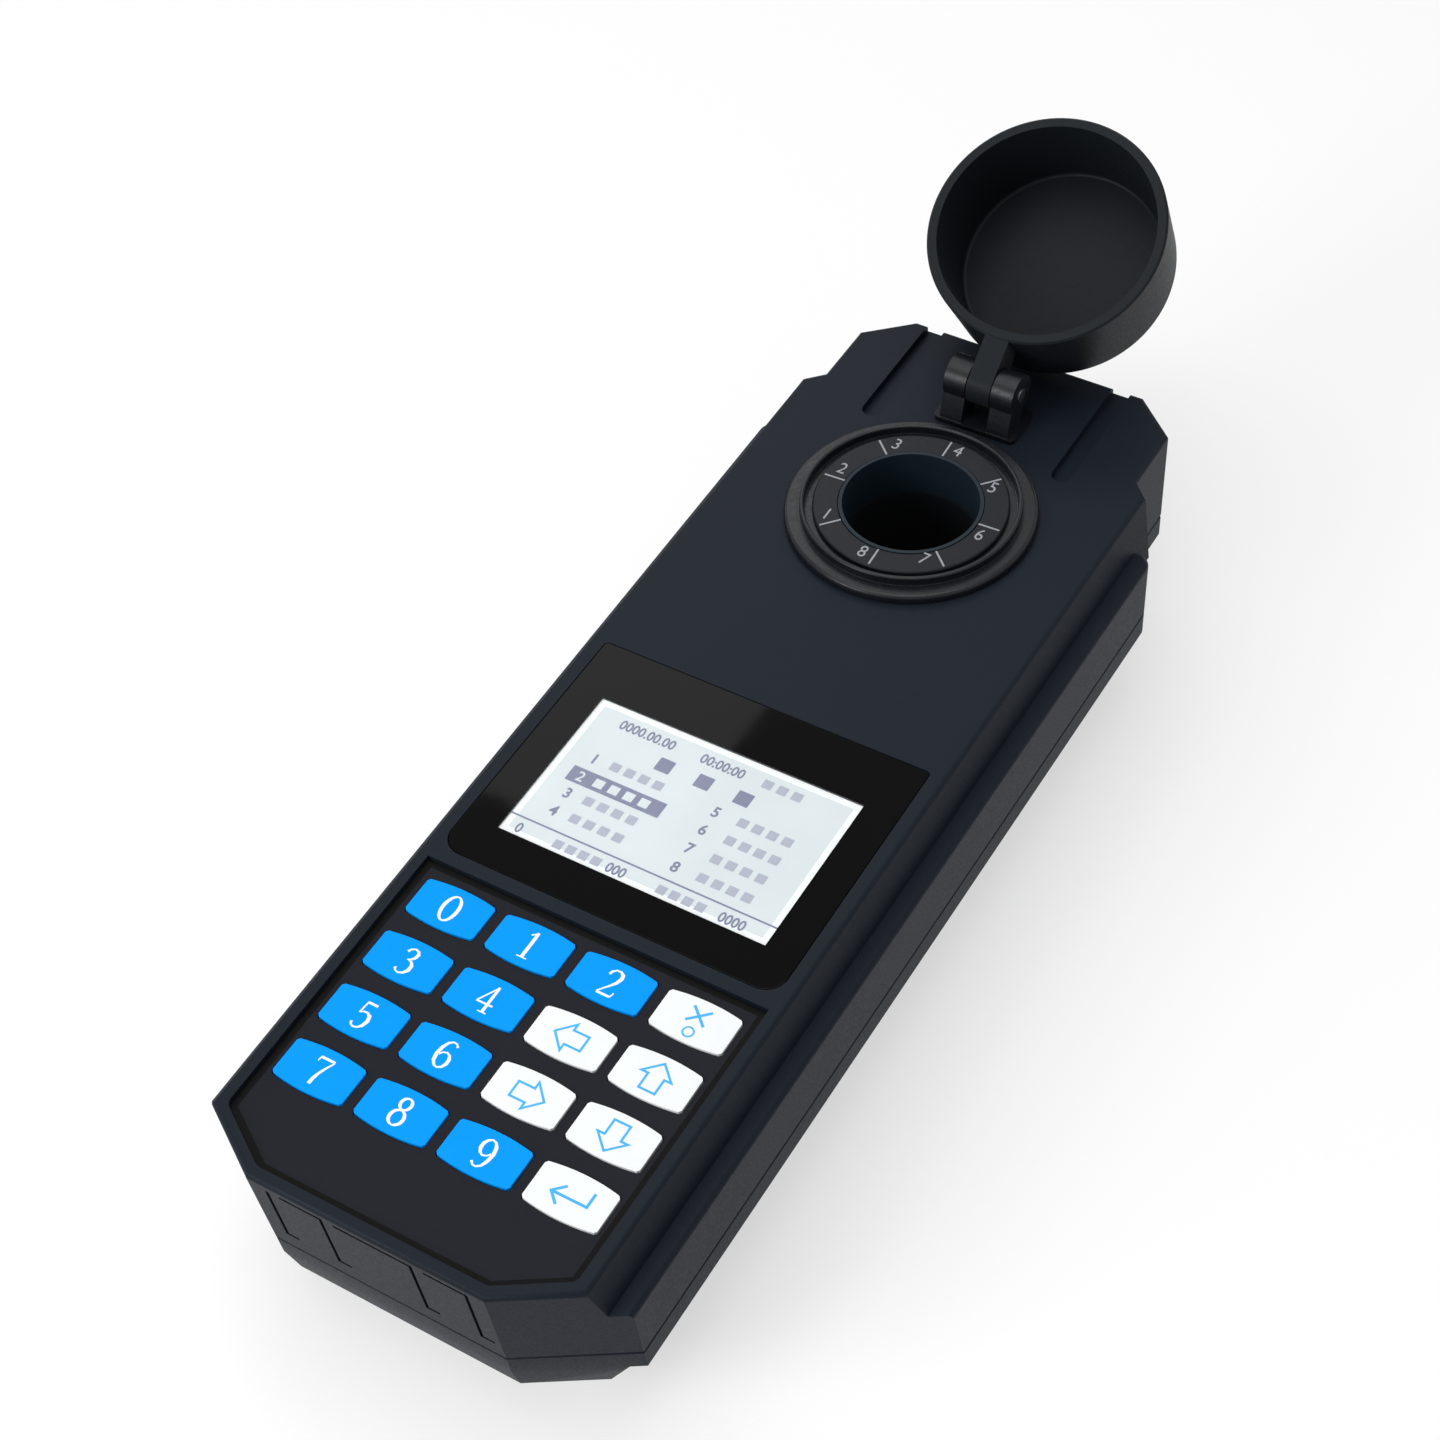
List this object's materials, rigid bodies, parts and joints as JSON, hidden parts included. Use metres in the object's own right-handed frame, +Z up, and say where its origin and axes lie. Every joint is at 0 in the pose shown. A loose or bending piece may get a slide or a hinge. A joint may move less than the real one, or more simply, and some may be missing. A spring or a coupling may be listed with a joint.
{
  "type": "portable turbidity meter",
  "caption": "Handheld water turbidity meter with a keypad, a display, a round sample well and a hinged cup-shaped light cover, shown open.",
  "frame": {"origin": "where the axis of the sample well crosses the flat deck of the housing", "axes": "+Z up out of the well, +Y to the rear where the light cover is hinged, +X to the user's right"},
  "size_m": [0.0844, 0.2612, 0.0858],
  "materials": {
    "housing_plastic": "fine texture, charcoal",
    "window_plastic": "gloss black, clear over the display",
    "display_glass": "pale grey-blue field",
    "display_frame": "plain white",
    "overlay_film": "fine texture, near black",
    "key_blue": "satin blue",
    "key_white": "satin white",
    "spring_steel": "bright",
    "board_laminate": "green lacquer",
    "collar_plastic": "satin charcoal",
    "seal_rubber": "black",
    "nut_plastic": "black",
    "dial_plastic": "satin charcoal",
    "well_plastic": "matt black",
    "optics_plastic": "matt black",
    "lamp_metal": "plain",
    "sensor_metal": "plain",
    "cover_plastic": "satin charcoal",
    "bracket_plastic": "satin charcoal",
    "pin_steel": "dark",
    "contact_metal": "nickel plated",
    "cell_wrap": "plain wrap",
    "foot_rubber": "black",
    "screw_steel": "dark zinc"
  },
  "bodies": {
    "housing": {"upper_housing": "housing_plastic", "lower_housing": "housing_plastic", "display_window": "window_plastic", "lcd_glass": "display_glass", "lcd_frame": "display_frame", "keypad_overlay": "overlay_film", "key_domes": "spring_steel", "main_board": "board_laminate", "well_collar": "collar_plastic", "collar_ring": "seal_rubber", "collar_nut": "nut_plastic", "index_dial": "dial_plastic", "sample_well": "well_plastic", "optics_block": "optics_plastic", "lamp": "lamp_metal", "transmission_sensor": "sensor_metal", "scatter_sensor": "sensor_metal", "hinge_bracket": "bracket_plastic", "hinge_pin": "pin_steel", "battery_door": "housing_plastic", "battery_contacts": "contact_metal", "battery_springs": "contact_metal", "rubber_feet": "foot_rubber", "case_screws": "screw_steel", "board_screws": "screw_steel", "bracket_screws": "screw_steel", "door_screws": "screw_steel", "battery_cell_1": "cell_wrap", "battery_cell_2": "cell_wrap", "battery_cell_3": "cell_wrap", "battery_cell_4": "cell_wrap"},
    "cover": {"light_cover": "cover_plastic"},
    "key_0_cap": {"key_0": "key_blue"},
    "key_1_cap": {"key_1": "key_blue"},
    "key_2_cap": {"key_2": "key_blue"},
    "key_escape_cap": {"key_escape": "key_white"},
    "key_3_cap": {"key_3": "key_blue"},
    "key_4_cap": {"key_4": "key_blue"},
    "key_left_cap": {"key_left": "key_white"},
    "key_up_cap": {"key_up": "key_white"},
    "key_5_cap": {"key_5": "key_blue"},
    "key_6_cap": {"key_6": "key_blue"},
    "key_right_cap": {"key_right": "key_white"},
    "key_down_cap": {"key_down": "key_white"},
    "key_7_cap": {"key_7": "key_blue"},
    "key_8_cap": {"key_8": "key_blue"},
    "key_9_cap": {"key_9": "key_blue"},
    "key_enter_cap": {"key_enter": "key_white"}
  },
  "joints": [
    {"name": "cover_hinge", "type": "hinge", "parent": "housing", "child": "cover", "pos_m": [0, 0.031, 0.0078], "axis": [1, 0, 0], "range_deg": [0, 150]},
    {"name": "key_0_press", "type": "slide", "parent": "housing", "child": "key_0_cap", "axis": [0, 0, -1], "range_m": [0, 0.0004], "stiffness_N_per_m": 1500},
    {"name": "key_1_press", "type": "slide", "parent": "housing", "child": "key_1_cap", "axis": [0, 0, -1], "range_m": [0, 0.0004], "stiffness_N_per_m": 1500},
    {"name": "key_2_press", "type": "slide", "parent": "housing", "child": "key_2_cap", "axis": [0, 0, -1], "range_m": [0, 0.0004], "stiffness_N_per_m": 1500},
    {"name": "key_escape_press", "type": "slide", "parent": "housing", "child": "key_escape_cap", "axis": [0, 0, -1], "range_m": [0, 0.0004], "stiffness_N_per_m": 1500},
    {"name": "key_3_press", "type": "slide", "parent": "housing", "child": "key_3_cap", "axis": [0, 0, -1], "range_m": [0, 0.0004], "stiffness_N_per_m": 1500},
    {"name": "key_4_press", "type": "slide", "parent": "housing", "child": "key_4_cap", "axis": [0, 0, -1], "range_m": [0, 0.0004], "stiffness_N_per_m": 1500},
    {"name": "key_left_press", "type": "slide", "parent": "housing", "child": "key_left_cap", "axis": [0, 0, -1], "range_m": [0, 0.0004], "stiffness_N_per_m": 1500},
    {"name": "key_up_press", "type": "slide", "parent": "housing", "child": "key_up_cap", "axis": [0, 0, -1], "range_m": [0, 0.0004], "stiffness_N_per_m": 1500},
    {"name": "key_5_press", "type": "slide", "parent": "housing", "child": "key_5_cap", "axis": [0, 0, -1], "range_m": [0, 0.0004], "stiffness_N_per_m": 1500},
    {"name": "key_6_press", "type": "slide", "parent": "housing", "child": "key_6_cap", "axis": [0, 0, -1], "range_m": [0, 0.0004], "stiffness_N_per_m": 1500},
    {"name": "key_right_press", "type": "slide", "parent": "housing", "child": "key_right_cap", "axis": [0, 0, -1], "range_m": [0, 0.0004], "stiffness_N_per_m": 1500},
    {"name": "key_down_press", "type": "slide", "parent": "housing", "child": "key_down_cap", "axis": [0, 0, -1], "range_m": [0, 0.0004], "stiffness_N_per_m": 1500},
    {"name": "key_7_press", "type": "slide", "parent": "housing", "child": "key_7_cap", "axis": [0, 0, -1], "range_m": [0, 0.0004], "stiffness_N_per_m": 1500},
    {"name": "key_8_press", "type": "slide", "parent": "housing", "child": "key_8_cap", "axis": [0, 0, -1], "range_m": [0, 0.0004], "stiffness_N_per_m": 1500},
    {"name": "key_9_press", "type": "slide", "parent": "housing", "child": "key_9_cap", "axis": [0, 0, -1], "range_m": [0, 0.0004], "stiffness_N_per_m": 1500},
    {"name": "key_enter_press", "type": "slide", "parent": "housing", "child": "key_enter_cap", "axis": [0, 0, -1], "range_m": [0, 0.0004], "stiffness_N_per_m": 1500}
  ]
}
